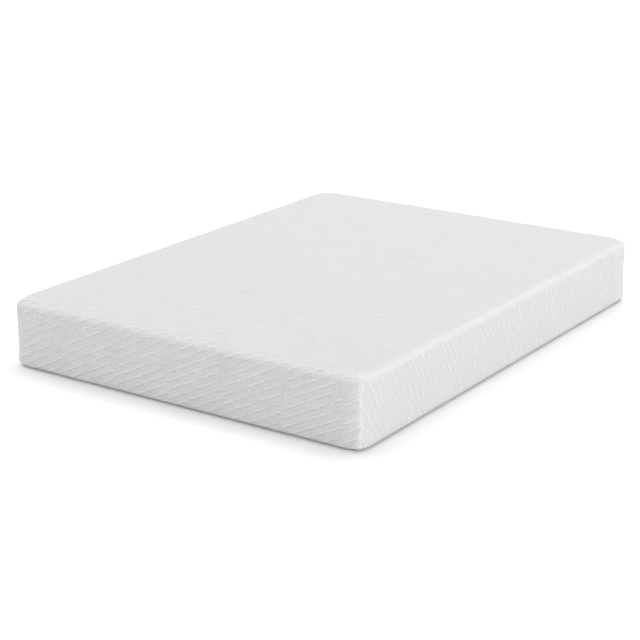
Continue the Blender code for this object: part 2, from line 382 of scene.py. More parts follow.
def cover_look():
    """Jacquard knit: cords of thicker yarn over fine loops; painted highlight on its top rolls and corner
    ridges.
    """
    look = Look("cover_knit_cloth", 0.86, 0.2, Sheen_Weight=0.15, Sheen_Roughness=0.5)
    cloth, u, v = look.cloth()
    # relief scales the figure; edge is how much painted highlight the cloth gets on the top rolls and corner
    # ridges
    relief, edge, _ = look.parts(look.add("UVMap", uv_map="form").outputs["UV"])
    crest, furrow, pebble = knit_figure(u, v, Nodes)
    loops = knit_loops(u, v, 1.9 * MM, 1.5 * MM)
    slow = look.noise(cloth, 180, 3.0)
    fibre = look.noise(cloth, 3, 4.0, (4, 1, 1))
    crossing = look.add("CombineXYZ", {0: u + v * 0.55, 1: v - u * 0.55}).outputs[0]
    slub = look.noise(crossing, 5, 2.0, (1, 5, 1)) - 0.5
    broken = steps(look.noise(cloth, 38, 2.0, (2.2, 1, 1)), 0.32, 0.62, Nodes) * 1.3 + 0.25
    pebble = pebble * steps(look.noise(cloth, 16, 2.0), 0.42, 0.62, Nodes)
    along = look.add("CombineXYZ", {0: u + v * SLANT, 1: v - u * SLANT}).outputs[0]
    floats = steps(look.noise(along, 4, 2.0, (7, 1, 1)), 0.56, 0.70, Nodes)
    # Painted highlight and shade: crests lighter, furrows darker, and the pebble lighter where it rises and
    # darker where it sinks, all stronger where the relief is
    cords = (crest * 0.95 * broken - furrow * 0.6 + pebble * 1.2 + slub * 1.2) * relief + floats * 0.28
    look.tint(
        cords + loops * 0.06 + slow * 0.14 + fibre * 0.13 + edge * 0.30 + 0.205,
        (0.590, 0.590, 0.585), (0.745, 0.745, 0.740),
    )
    twist = Nodes.sin((u + v * 0.4) * (TURN / (3.2 * MM)))
    raised = (crest * 0.8 - furrow * 0.4 + slub * 0.6 + pebble * 0.6) * relief * (1.0 * MM)
    look.bump(
        raised + floats * (0.25 * MM) + loops * (0.16 * MM) + crest * (twist * (0.10 * MM))
        + fibre * (0.22 * MM)
    )
    return look.material


def base_look():
    look = Look("base_knit_cloth", 0.9, 0.2)
    cloth, u, v = look.cloth()
    loops = knit_loops(u, v, 2.2 * MM, 1.6 * MM)
    slow = look.noise(cloth, 120, 4.0)
    fibre = look.noise(cloth, 2, 3.0, (1, 4, 1))
    look.tint(loops * 0.4 + slow * 0.4 + fibre * 0.2, (0.50, 0.50, 0.49), (0.66, 0.66, 0.65))
    look.bump(loops * (0.22 * MM) + fibre * (0.15 * MM))
    return look.material


def sock_look():
    look = Look("barrier_knit_cloth", 0.95, 0.15, Sheen_Weight=0.2)
    cloth, u, v = look.cloth()
    loops = knit_loops(u, v, 3.0 * MM, 2.2 * MM)
    slow = look.noise(cloth, 90, 4.0)
    look.tint(loops * 0.6 + slow * 0.4, (0.52, 0.49, 0.41), (0.80, 0.77, 0.68))
    look.bump(loops * (0.35 * MM) + look.noise(cloth, 1.2, 3.0) * (0.2 * MM))
    return look.material


def tape_look():
    """Woven tape with the sewing line that holds the coil on."""
    look = Look("zip_tape_weave", 0.75, 0.3)
    place = look.place()
    x, _, z = look.parts(place)
    from_chain = Nodes.abs(z - ZIP_LEVEL)
    warp = Nodes.sin(z * (TURN / (0.9 * MM)))
    weft = Nodes.sin(x * (TURN / (1.1 * MM)) + from_chain * (pi / (1.1 * MM)))
    weave = warp * weft * 0.5 + 0.5
    off_line = Nodes.abs(from_chain - 3.9 * MM)
    stitch = x / (2.6 * MM) - Nodes.floor(x / (2.6 * MM))
    sewn = (1.0 - steps(off_line, 0.2 * MM, 0.5 * MM, Nodes)) * steps(stitch, 0.1, 0.25, Nodes)
    slow = look.noise(place, 30, 3.0)
    look.tint(weave * 0.45 + sewn * 0.5 + slow * 0.2, (0.60, 0.60, 0.59), (0.86, 0.86, 0.85))
    look.bump(weave * (0.12 * MM) + sewn * (0.25 * MM))
    return look.material


def coil_look():
    look = Look(
        "zip_coil_nylon", 0.38, 0.5,
        Subsurface_Weight=0.15, Subsurface_Radius=(1.0, 0.9, 0.8), Subsurface_Scale=0.6 * MM,
    )
    place = look.place()
    fine = look.noise(place, 0.6, 3.0)
    slow = look.noise(place, 25, 2.0)
    look.tint(fine * 0.4 + slow * 0.6, (0.70, 0.70, 0.68), (0.86, 0.86, 0.85))
    look.rough(fine * 0.25 + 0.27)
    look.bump(fine * (0.05 * MM))
    return look.material


def metal_look():
    """Satin nickel plate, rubbed brighter where it is handled, with hair scratches along the zip."""
    look = Look("zip_satin_nickel", 0.5, 0.5, Metallic=1.0)
    place = look.place()
    scratch = look.noise(place, 0.25, 2.0, (14, 1, 1))
    blotch = look.noise(place, 4, 4.0)
    look.tint(blotch * 0.7 + scratch * 0.3, (0.46, 0.45, 0.43), (0.72, 0.71, 0.69))
    look.rough(blotch * 0.18 + scratch * 0.14 + 0.16)
    look.bump(scratch * (0.02 * MM) + blotch * (0.03 * MM))
    return look.material


def foam_look(name, dark, light, cell):
    """Open-celled foam: pores of one size, a few large ones, and the saw's faint lines on its sides."""
    look = Look(name, 0.97, 0.1)
    place = look.place()
    _, _, z = look.parts(place)
    pores = look.cells(place, cell)
    holes = look.cells(place, cell * 6)
    saw = Nodes.sin(z * (TURN / (7 * MM)) + look.noise(place, 60) * 6.0)
    slow = look.noise(place, 150, 3.0)
    deep = steps(holes, 0.05, 0.2, Nodes)
    # The pores and the few large holes are painted darker towards their middles, where they sink in: painted
    # shade
    look.tint(pores * 0.5 + deep * 0.3 + slow * 0.3, dark, light)
    look.bump(pores * (cell * 0.35) + deep * (cell * 0.8) + saw * (0.08 * MM))
    return look.material


def label_look():
    """Spun-bonded label cloth: fine fibres pressed together at a grid of small points."""
    look = Look("label_spun_cloth", 0.8, 0.3)
    cloth, u, v = look.cloth()
    fibres = look.noise(cloth, 0.7, 3.0, (6, 1, 1)) + look.noise(cloth, 0.7, 3.0, (1, 6, 1))
    points = steps(diamonds(u, v, 1.6 * MM, Nodes), 0.3, 0.9, Nodes)
    slow = look.noise(cloth, 40, 3.0)
    look.tint(fibres * 0.45 + slow * 0.4 - points * 0.2, (0.52, 0.52, 0.51), (0.80, 0.80, 0.79))
    look.bump(fibres * (0.05 * MM) - points * (0.06 * MM))
    return look.material


def thread_look():
    look = Look("sewing_thread", 0.6, 0.4, Sheen_Weight=0.3)
    place = look.place()
    x, _, z = look.parts(place)
    ply = Nodes.sin((x + z) * (TURN / (0.5 * MM))) * 0.5 + 0.5
    fuzz = look.noise(place, 0.3, 3.0)
    look.tint(ply * 0.5 + fuzz * 0.5, (0.62, 0.62, 0.61), (0.88, 0.88, 0.87))
    look.bump(ply * (0.06 * MM) + fuzz * (0.04 * MM))
    return look.material


# ---- the cover's shape

SIDES = {
    "foot": ((1, 0), (0, -1)), "right": ((0, 1), (1, 0)),
    "head": ((-1, 0), (0, 1)), "left": ((0, -1), (-1, 0)),
}
ORDER = tuple(SIDES)


def profile(step, arc_step):
    """Rows up the cover's section, from the hem under it to the top: inset, level and length of cloth."""
    low, high = (
        np.linspace(0, pi / 2, round(edge * pi / 2 / arc_step) + 1) for edge in (EDGE_BOTTOM, EDGE_TOP)
    )
    wall = HEIGHT - EDGE_TOP - EDGE_BOTTOM
    middle = np.linspace(0, wall, round(wall / step) + 1)[1:-1]
    for level in (ZIP_LEVEL - SLOT_HALF_HEIGHT, ZIP_LEVEL + SLOT_HALF_HEIGHT):
        middle[np.argmin(np.abs(EDGE_BOTTOM + middle - level))] = level - EDGE_BOTTOM
    hem = EDGE_BOTTOM * pi / 2
    return np.concatenate([
        [EDGE_BOTTOM * (1 - np.sin(low)), EDGE_BOTTOM * (1 - np.cos(low)), EDGE_BOTTOM * low],
        [np.zeros(len(middle)), EDGE_BOTTOM + middle, hem + middle],
        [EDGE_TOP * (1 - np.cos(high)), HEIGHT - EDGE_TOP * (1 - np.sin(high)), hem + wall + EDGE_TOP * high],
    ], 1)


def wall_grid(side, rows, depth, step_along, marks):
    """One side as a grid of points from its lowest row up, and how far each is from its corner seam.

    depth is how far the layer lies inside the cover's face. Columns stand at the marks, on both sides of the
    wall's middle.
    """
    forward, outward = (np.array(way, float) for way in SIDES[side])
    inset, level, length = rows
    half = ((HALF_WIDTH if forward[0] else HALF_LENGTH) - inset - depth)[:, None]
    reach = ((HALF_LENGTH if forward[0] else HALF_WIDTH) - inset - depth)[:, None]
    near_floor = np.maximum(0, 1 - level / RIDGE_FLOOR_REACH) ** 2
    ridge = (RIDGE_INSET + (RIDGE_INSET_FLOOR - RIDGE_INSET) * near_floor)[:, None]
    centre = ridge + RIDGE_RADIUS / sqrt(2)
    bend = np.linspace(pi / 4, RIDGE_EASE, 9)[None, :-1]
    start_along = centre - RIDGE_RADIUS * sin(RIDGE_EASE)
    start_in = centre - RIDGE_RADIUS * cos(RIDGE_EASE)
    widest = np.argmax(half)
    share = np.linspace(0, 1, round(half[widest, 0] / step_along) + 1)
    marked = 1 - np.array(marks) / (half[widest, 0] - start_along[widest, 0])
    clear = np.abs(share[:, None] - marked).min(1, initial=1) > 0.3 / len(share)
    share = np.unique(np.concatenate([share[clear], marked]))
    from_corner = start_along + share * (half - start_along)
    ease = np.maximum(0, 1 - (from_corner - start_along) * tan(RIDGE_EASE) / (2 * start_in))
    along = np.concatenate([centre - RIDGE_RADIUS * np.sin(bend), from_corner], 1)
    inward = np.concatenate([centre - RIDGE_RADIUS * np.cos(bend), start_in * ease ** 2], 1)
    position, inward, seam = (
        np.concatenate([first, way * first[:, -2::-1]], 1)
        for first, way in ((along - half, -1), (inward, 1), (along - ridge, 1))
    )
    bulge = WALL_BULGE if side != "head" else 0.0
    rise = np.maximum(0, 1 - ((level - HEIGHT / 2) / (HEIGHT / 2)) ** 2)[:, None]
    out = reach - inward + bulge * rise * steps(seam, 0, 120 * MM)
    points = np.empty((*seam.shape, 3))
    points[..., :2] = position[..., None] * forward + out[..., None] * outward
    points[..., 2] = (depth + level * (HEIGHT - 2 * depth) / HEIGHT)[:, None]
    return {"points": points, "position": position, "seam": seam, "length": length, "outward": outward}


def filled(grids, row):
    """A grid over the space inside the four sides' first or last rows."""
    south, east, north, west = (grids[side]["points"][row] for side in ORDER)
    north, west = north[::-1], west[::-1]
    s = np.linspace(0, 1, len(south))[None, :, None]
    t = np.linspace(0, 1, len(east))[:, None, None]
    edges = (1 - t) * south[None] + t * north[None] + (1 - s) * west[:, None] + s * east[:, None]
    near = (1 - s) * (1 - t) * south[0] + s * (1 - t) * south[-1]
    far = (1 - s) * t * north[0] + s * t * north[-1]
    return edges - near - far


def wall_grids(rows, depth, step_x, step_y, marks):
    grids = {}
    for side in ORDER:
        step = step_x if side in ("foot", "head") else step_y
        grids[side] = wall_grid(side, rows, depth, step, marks.get(side, ()))
    return grids


def crowned(top):
    along, across = (np.sin(pi * np.linspace(0, 1, count)) for count in top.shape[:2])
    top[..., 2] += TOP_CROWN * np.sqrt(np.maximum(along[:, None] * across, 0))
    return top


def cover_shape(step_x, step_y, step_up, arc_step, marks):
    grids = wall_grids(profile(step_up, arc_step), 0.0, step_x, step_y, marks)
    grids["top"] = {"points": crowned(filled(grids, -1))}
    return grids


def unit(vectors):
    return vectors / np.linalg.norm(vectors, axis=-1, keepdims=True)


def face_normals(points):
    """Area-weighted normals of a grid's points, not yet of unit length."""
    across = points[:-1, 1:] - points[1:, :-1]
    down = points[1:, 1:] - points[:-1, :-1]
    face = np.pad(np.cross(across, down), ((1, 1), (1, 1), (0, 0)))
    return face[1:, 1:] + face[1:, :-1] + face[:-1, 1:] + face[:-1, :-1]


TOP_EDGES = {
    "foot": (0, slice(None), 1), "head": (-1, slice(None), -1),
    "right": (slice(None), -1, 1), "left": (slice(None), 0, -1),
}


def sides_to_top(fields):
    for side, (rows, cols, way) in TOP_EDGES.items():
        fields["top"][rows, cols] = fields[side][-1][::way]


def join_edges(fields, combine):
    """Makes the values along shared edges the same in both grids."""
    for side, (rows, cols, way) in TOP_EDGES.items():
        shared = combine(fields["top"][rows, cols], fields[side][-1][::way])
        fields["top"][rows, cols] = shared
        fields[side][-1] = shared[::way]
    for side, after in zip(ORDER, ORDER[1:] + ORDER[:1]):
        shared = combine(fields[side][:, -1], fields[after][:, 0])
        fields[side][:, -1] = shared
        fields[after][:, 0] = shared
    sides_to_top(fields)


def shared_normals(points):
    normals = {name: face_normals(grid) for name, grid in points.items()}
    join_edges(normals, lambda a, b: a + b)
    return {name: unit(grid) for name, grid in normals.items()}


def smooth(mesh, angle=None):
    """Shades a mesh smooth, but for edges above an angle in degrees."""
    mesh.shade_smooth()
    if angle is not None:
        mesh.set_sharp_from_angle(angle=radians(angle))


def mesh_object(name, points, faces, material, angle=None):
    mesh = bpy.data.meshes.new(name)
    mesh.from_pydata(points, [], faces)
    smooth(mesh, angle)
    mesh.materials.append(material)
    return in_scene(name, mesh)


def grid_faces(rows, cols, ring=False, loop=False):
    """The quads of a grid; ring joins its last column to its first, and loop its last row to its first."""
    index = np.pad(np.arange(rows * cols).reshape(rows, cols), ((0, loop), (0, ring)), mode="wrap")
    return np.stack([index[:-1, :-1], index[:-1, 1:], index[1:, 1:], index[1:, :-1]], -1)


def grid_of(*values):
    """A grid of points or cloth coordinates from values that vary along its rows, its columns or both."""
    return np.stack(np.broadcast_arrays(*values), -1)


def grid_object(name, points, cloth, material, normals=None, keep=None, form=None):
    """A cloth from a grid of points: metres along it as one UV map, its relief and painted highlight as
    another.
    """
    faces = grid_faces(*points.shape[:2])
    faces = faces.reshape(-1, 4) if keep is None else faces[keep]
    used, faces = np.unique(faces, return_inverse=True)
    made = mesh_object(name, points.reshape(-1, 3)[used], faces.reshape(-1, 4), material)
    mesh = made.data
    corner = np.empty(len(mesh.loops), np.int32)
    mesh.loops.foreach_get("vertex_index", corner)
    for title, values in (("cloth", cloth), ("form", form)):
        if values is not None:
            layer = mesh.uv_layers.new(name=title)
            layer.data.foreach_set("uv", values.reshape(-1, 2)[used][corner].astype(np.float32).ravel())
    if normals is not None:
        mesh.normals_split_custom_set_from_vertices(normals.reshape(-1, 3)[used].tolist())
    return made


def run_along(path):
    """How far along a path each of its points is."""
    return np.concatenate([[0], np.cumsum(np.linalg.norm(np.diff(path, axis=0), axis=-1))])


def points_at(run, path, at):
    return np.stack([np.interp(at, run, path[:, axis]) for axis in range(3)], -1)


def add_piece(piece, slot, *replaced, body="mattress"):
    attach(piece, body)
    if replaced:
        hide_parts(*replaced)


def add_sheet(
    name, points, cloth, material, slot, *replaced, body="mattress", held="stretched", **details
):
    """Adds a cloth from a grid of points; the details are grid_object's."""
    piece = grid_object(name, points, cloth, material, **details)
    add_piece(piece, slot, *replaced, body=body)


def cloth_of(side, grid, top_row):
    """Cloth coordinates of a side: the top's cloth goes on down it, so lengths go on from the top's edge.

    The top's edge curves in at the corners; further down the wall the figure's rows run on straight.
    """
    down = (grid["length"][-1] - grid["length"])[:, None]
    along, over = (0, 1) if side in ("foot", "head") else (1, 0)
    straight = top_row[len(top_row) // 2, over]
    curve = (top_row[None, :, over] - straight) * (1 - steps(down, 0, FIGURE_STRAIGHTENS))
    cloth = np.empty((*grid["points"].shape[:2], 2))
    cloth[..., along] = grid["points"][..., along]
    cloth[..., over] = straight + curve + grid["outward"][over] * down
    return cloth


# ---- the cloth simulation

SIM_STEP = 30 * MM
SIM_FRAMES = 20
SIM_CAP = 2.6 * MM
SIM_UNEVENNESS = 260 * MM
SIM_CLOTH = {
    "quality": 5, "mass": 0.4, "tension_stiffness": 25, "compression_stiffness": 25, "shear_stiffness": 8,
    "bending_stiffness": 2.0, "use_pressure": True, "uniform_pressure_force": 4.0,
    "vertex_group_pressure": "press", "vertex_group_mass": "held",
}


def weld(points):
    """One mesh from several grids, whose shared edges are merged, and each grid's vertex numbers."""
    verts, quads, numbers, start = [], [], {}, 0
    for name, grid in points.items():
        size = grid.shape[:2]
        quads.append(start + grid_faces(*size).reshape(-1, 4))
        verts.append(grid.reshape(-1, 3))
        numbers[name] = start + np.arange(len(verts[-1])).reshape(size)
        start += len(verts[-1])
    verts = np.concatenate(verts)
    keys = np.round(verts / (0.05 * MM)).astype(np.int64)
    _, first, same = np.unique(keys, axis=0, return_index=True, return_inverse=True)
    same = same.reshape(-1)
    quads = same[np.concatenate(quads)]
    return verts[first], quads, {name: same[index] for name, index in numbers.items()}


def simulate_cover():
    """How far a cloth simulation lifts each point of a coarse cover off its resting shape, as grids.

    The cloth is blown up a little from inside, harder in some places than in others as foam presses unevenly.
    """
    grids = cover_shape(SIM_STEP, SIM_STEP, SIM_STEP, 12 * MM, {})
    points = {name: grid["points"] for name, grid in grids.items()}
    verts, quads, numbers = weld(points)
    mesh = bpy.data.meshes.new("cover_simulation")
    mesh.from_pydata(verts, [], quads)
    body = in_scene("cover_simulation", mesh)

    draw = np.random.default_rng(7)
    waves = draw.normal(size=(40, 3)) * (TURN / SIM_UNEVENNESS) * 0.5
    uneven = np.sin(verts @ waves.T + draw.uniform(0, TURN, 40)).sum(1) / sqrt(40)
    weight = np.clip(0.5 + 0.35 * uneven, 0.02, 1)
    press = body.vertex_groups.new(name="press")
    held = body.vertex_groups.new(name="held")
    for number, value in enumerate(weight):
        press.add([number], float(value), "REPLACE")
    held.add(np.nonzero(verts[:, 2] < 1 * MM)[0].tolist(), 1.0, "REPLACE")

    cloth = body.modifiers.new("cloth", "CLOTH")
    for setting, value in SIM_CLOTH.items():
        setattr(cloth.settings, setting, value)
    cloth.settings.effector_weights.gravity = 0
    cloth.collision_settings.use_collision = False
    scene = bpy.context.scene
    cloth.point_cache.frame_start = 1
    cloth.point_cache.frame_end = SIM_FRAMES
    for number in range(1, SIM_FRAMES + 1):
        scene.frame_set(number)
    settled = body.evaluated_get(bpy.context.evaluated_depsgraph_get()).data
    moved = np.array([vertex.co for vertex in settled.vertices])
    scene.frame_set(1)
    bpy.data.objects.remove(body)

    normals = shared_normals(points)
    lift = {name: ((moved[index] - points[name]) * normals[name]).sum(-1) for name, index in numbers.items()}
    spread = np.concatenate([grid.ravel() for grid in lift.values()])
    middle, scale = np.median(spread), np.std(spread) + 1e-9
    lift = {name: SIM_CAP * np.tanh((grid - middle) / (1.5 * scale)) for name, grid in lift.items()}
    join_edges(lift, lambda a, b: (a + b) / 2)
    return grids, lift


def curve_matrix(knots, at):
    """The matrix that takes values at knots to a smooth curve through them, at other places."""
    cell = np.clip(np.searchsorted(knots, at, side="right") - 1, 0, len(knots) - 2)
    width = knots[cell + 1] - knots[cell]
    t = np.clip((at - knots[cell]) / width, 0, 1)
    slope = np.zeros((len(knots), len(knots)))
    k = np.arange(len(knots))
    before, after = np.maximum(k - 1, 0), np.minimum(k + 1, len(knots) - 1)
    slope[k, after] += 1 / (knots[after] - knots[before])
    slope[k, before] -= 1 / (knots[after] - knots[before])
    rows = np.arange(len(at))
    value = np.zeros((len(at), len(knots)))
    value[rows, cell] += 2 * t ** 3 - 3 * t ** 2 + 1
    value[rows, cell + 1] += -2 * t ** 3 + 3 * t ** 2
    value += ((t ** 3 - 2 * t ** 2 + t) * width)[:, None] * slope[cell]
    value += ((t ** 3 - t ** 2) * width)[:, None] * slope[cell + 1]
    return value


def refine(coarse_grids, lift, fine_grids):
    """The simulated lift on the cover's fine grids."""
    fine, across = {}, {}
    for side in ORDER:
        coarse, dense = coarse_grids[side], fine_grids[side]
        up = curve_matrix(coarse["length"], dense["length"])
        across[side] = curve_matrix(coarse["position"][-1], dense["position"][-1])
        fine[side] = up @ lift[side] @ across[side].T
    fine["top"] = across["right"] @ lift["top"] @ across["foot"].T
    return fine


# ---- the cover

def figure_height(cloth):
    """How far the figure stands off the cloth."""
    crest, furrow, pebble = knit_figure(cloth[..., 0], cloth[..., 1])
    return RIDGE_HEIGHT * (crest - FURROW_DEPTH * furrow) + PEBBLE_HEIGHT * pebble * (1 - crest)


def seam_height(seam, up):
    """The groove of a corner seam, with small puckers beside it."""
    waves = np.sin(up * (TURN / PUCKER_PITCH) + seam * 200)
    pucker = PUCKER_HEIGHT * np.exp(-(seam / PUCKER_REACH) ** 2) * waves * steps(seam, 0, 4 * MM)
    groove = -SEAM_GROOVE * np.exp(-(seam / SEAM_GROOVE_WIDTH) ** 2)
    return (pucker + groove) * steps(up, 20 * MM, 50 * MM)


def side_height(side, grid, cloth, relief, lift):
    """How far a side's cloth stands off its smooth shape, drawn in at the hem under the mattress."""
    seam, up = grid["seam"], grid["length"][:, None]
    figure = figure_height(cloth) * relief * steps(seam, *FIGURE_FROM_SEAM) * steps(up, *FIGURE_FROM_HEM)
    loose = lift * steps(up, 0, LIFT_FROM_HEM) - SEAM_LIFT * (1 - steps(up, 0, SEAM_LIFT_REACH))
    if side == "head":
        back = steps(seam, 0, BACK_FROM_SEAM) * steps(up, *BACK_FROM) * (1 - steps(up, *BACK_TO))
        loose = loose * (1 - BACK_LIFT_LOST * back) - HEAD_SETBACK * back
        x, z = np.abs(grid["points"][..., 0]), np.abs(grid["points"][..., 2] - ZIP_LEVEL)
        from_slot = np.hypot(np.maximum(x - SLOT_HALF_LENGTH, 0), np.maximum(z - SLOT_HALF_HEIGHT, 0))
        free = steps(from_slot, *SLOT_FLAT)
        figure *= free
        loose = loose * free - HEAD_SETBACK * back * (1 - free)
    return figure + seam_height(seam, up) + loose


def outside_slot(points):
    """The faces of the head end that leave the zip's slot open."""
    middle = (points[:-1, :-1] + points[1:, 1:]) / 2
    beside = np.abs(middle[..., 0]) > SLOT_HALF_LENGTH + 0.1 * MM
    return beside | (np.abs(middle[..., 2] - ZIP_LEVEL) > SLOT_HALF_HEIGHT)


def make_cover(material):
    ends = {"foot": (SLOT_HALF_LENGTH,), "head": (SLOT_HALF_LENGTH,)}
    grids = cover_shape(GRID_ALONG_X, GRID_ALONG_Y, GRID_UP, 3 * MM, ends)
    points = {name: grid["points"] for name, grid in grids.items()}
    normals = shared_normals(points)
    lift = refine(*simulate_cover(), grids)

    relief, edge = {}, {}
    for name, normal in normals.items():
        x, y, z = (normal[..., axis] for axis in range(3))
        relief[name] = RELIEF_TOP * z ** 2 + RELIEF_LONG * x ** 2 + RELIEF_SHORT * y ** 2
        # Painted highlight on the rolls round the top, strongest where the cloth faces halfway between up and
        # out
        edge[name] = 4 * np.maximum(z, 0) ** 2 * (1 - z ** 2)
    cloth, height = {}, {}
    keep = {"head": outside_slot(points["head"])}
    for side in ORDER:
        grid = grids[side]
        cloth[side] = cloth_of(side, grid, points[side][-1])
        # Painted highlight along the ridge of each corner seam, too
        edge[side] = np.maximum(edge[side], np.exp(-(grid["seam"] / SEAM_HIGHLIGHT_REACH) ** 2))
        height[side] = side_height(side, grid, cloth[side], relief[side], lift[side])
    cloth["top"] = points["top"][..., :2].copy()
    height["top"] = figure_height(cloth["top"]) * relief["top"] + lift["top"]
    sides_to_top(height)
    moved = {name: points[name] + normals[name] * height[name][..., None] for name in points}
    join_edges(moved, lambda a, b: (a + b) / 2)
    normals = shared_normals(moved)
    # The second UV map: how strongly the figure shows, and how much painted highlight the cloth gets
    form = {name: np.stack([relief[name], edge[name]], -1) for name in moved}

    replaced = ("cover_shell",)
    for side in ORDER:
        add_sheet(
            f"cover_{side}_side", moved[side], cloth[side], material, "cover_knit", *replaced,
            normals=normals[side], form=form[side], keep=keep.get(side),
        )
        replaced = ()
    cuts = [round(len(moved["top"]) * third / 3) for third in range(4)]
    for part, low, high in zip(("foot", "middle", "head"), cuts, cuts[1:]):
        patch, on_cloth, turned, formed = (
            field["top"][low:high + 1] for field in (moved, cloth, normals, form)
        )
        add_sheet(
            f"cover_top_{part}_third", patch, on_cloth, material, "cover_knit",
            normals=turned, form=formed,
        )
    return grids


# ---- threads and stitches

STITCH_RADIUS = 0.28 * MM
OUTWARD = np.array((0, 1, 0))


def tube(path, radius, sides, axis, closed=False):
    """Points and quads of a thin round thread along a path; axis is a way that the path never runs."""
    along = unit(np.roll(path, -1, 0) - np.roll(path, 1, 0) if closed else np.gradient(path, axis=0))
    first = unit(np.cross(along, axis))
    second = np.cross(along, first)
    turn = np.linspace(0, TURN, sides, endpoint=False)
    radius = np.broadcast_to(radius, len(path))[:, None, None]
    ring = np.cos(turn)[None, :, None] * first[:, None] + np.sin(turn)[None, :, None] * second[:, None]
    points = path[:, None] + radius * ring
    faces = grid_faces(len(path), sides, ring=True, loop=closed)
    return points.reshape(-1, 3), faces.reshape(-1, 4)


def add_stitches(name, starts, ends, thread, body="mattress"):
    """Stitches on the head end: short threads that bow out from the cloth and dive in at both ends."""
    t = np.array([0.0, 0.12, 0.35, 0.65, 0.88, 1.0])
    bow = np.array([-0.4, 0.15, 0.5, 0.5, 0.15, -0.4]) * MM
    thick = np.array([0.35, 0.85, 1.0, 1.0, 0.85, 0.35]) * STITCH_RADIUS
    points, faces, start = [], [], 0
    for a, b in zip(starts, ends):
        path = a + t[:, None] * (b - a) + bow[:, None] * OUTWARD
        verts, quads = tube(path, thick, 5, OUTWARD)
        points.append(verts)
        faces.append(quads + start)
        start += len(verts)
    piece = mesh_object(name, np.concatenate(points), np.concatenate(faces), thread)
    add_piece(piece, "label_cloth", body=body)


# ---- the zip in the head end

FACE = HALF_LENGTH - HEAD_SETBACK
HEM_CORNER = 3.5 * MM
HEM_STITCH_OFF = 6.2 * MM
HEM_STITCH_REACH = 1.2 * MM
# The hem's figure relief and painted highlight, as the cover's second UV map gives them
HEM_FORM = (0.3, 0.3)
# The size, length and start of each wave along it, and its section out from the slot's edge and up off the
# face, in millimetres
HEM_WAVES = ((0.13, 9.0, 0), (0.10, 5.3, 1), (0.08, 31.0, 0))
HEM_PROFILE = (
    (9.2, -0.7), (8.9, 0.2), (8.2, 0.65), (7.2, 0.5), (6.2, 0.05), (5.3, 0.5), (4.2, 0.9), (2.8, 1.05),
    (1.4, 0.9), (0.5, 0.4), (0.1, -0.2), (0.4, -0.75), (1.6, -1.15),
)
STITCH_LENGTH = 3.0 * MM
STITCH_PITCH = 3.6 * MM
COIL_PITCH = 1.5 * MM
COIL_WIRE = 0.37 * MM

# Each metal part's body, and how far its edges are rounded
METAL = {
    "zip_bottom_stop": ("mattress", 0.35 * MM),
    "zip_top_stop_lower": ("mattress", 0.35 * MM),
    "zip_top_stop_upper": ("mattress", 0.35 * MM),
    "zip_slider": ("slider", 0.3 * MM),
    "zip_pull": ("pull", 0.22 * MM),
}


def slot_loop(step):
    """Places round the zip's slot as X and Z, and the way out from it at each."""
    places, ways = [], []
    for quarter in range(4):
        turn = np.linspace(quarter, quarter + 1, 6) * pi / 2
        way = np.stack([np.cos(turn), np.sin(turn)], -1)
        corner = np.sign(way.sum(0)) * (SLOT_HALF_LENGTH - HEM_CORNER, SLOT_HALF_HEIGHT - HEM_CORNER)
        places.append(corner + HEM_CORNER * way)
        ways.append(way)
    loop, out = [], []
    for number in range(4):
        after = places[(number + 1) % 4][0]
        gap = after - places[number][-1]
        count = max(1, round(float(np.hypot(*gap)) / step))
        share = np.linspace(0, 1, count, endpoint=False)[1:, None]
        loop += [places[number], places[number][-1] + share * gap]
        out += [ways[number], np.broadcast_to(ways[number][-1], (count - 1, 2))]
    return np.concatenate(loop) + (0, ZIP_LEVEL), np.concatenate(out)


def at_slot(loop, out, off, y):
    """Points at a distance out from the slot's edge, proud of the head end's face by y."""
    flat = loop + out * off
    return grid_of(flat[:, 0], FACE + y, flat[:, 1])


def make_hem(cloth_material, thread):
    """The cover's edge rolled under all round the slot, a little wavy, and drawn in by a row of stitches."""
    loop, out = (np.concatenate([part, part[:1]]) for part in slot_loop(4 * MM))
    run = run_along(loop)
    wave = sum(size * np.sin(run / (length * MM) + start) for size, length, start in HEM_WAVES)
    wave[-1] = wave[0]
    pull = 0.18 * np.cos(run * TURN / STITCH_PITCH)
    rows = []
    for off, y in HEM_PROFILE:
        stitched = abs(off * MM - HEM_STITCH_OFF) < HEM_STITCH_REACH
        puff = wave * min(1, max(y, 0) * 2) + pull * stitched
        rows.append(at_slot(loop, out, off * MM, (y + puff) * MM))
    points = np.stack(rows)
    across = run_along(np.array(HEM_PROFILE) * MM)
    cloth = grid_of(run[None, :], across[:, None])
    form = np.broadcast_to(HEM_FORM, cloth.shape)
    add_sheet("zip_hem", points, cloth, cloth_material, "cover_knit", form=form)

    path = at_slot(*slot_loop(0.5 * MM), HEM_STITCH_OFF, 0.25 * MM)
    run = run_along(path)
    begin = np.arange(0, run[-1] - STITCH_LENGTH, STITCH_PITCH)
    starts, ends = (points_at(run, path, at) for at in (begin, begin + STITCH_LENGTH))
    add_stitches("zip_hem_stitches", starts, ends, thread)


def make_tapes(material):
    for half in ("lower", "upper"):
        node = f"zip_tape_{half}"
        low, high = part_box(node)
        x = np.linspace(low.x, high.x, 300)[None, :]
        z = np.linspace(low.z, high.z, 13)[:, None]
        ripple = 0.2 * MM * np.sin(x / (17 * MM) + z / (5 * MM))
        y = high.y - 0.25 * MM + ripple - 0.12 * MM * (np.abs(z - ZIP_LEVEL) < 1.5 * MM)
        points = grid_of(x, y, z)[::-1]
        add_sheet(f"{node}_weave", points, points[..., [0, 2]], material, "zip_tape", node)


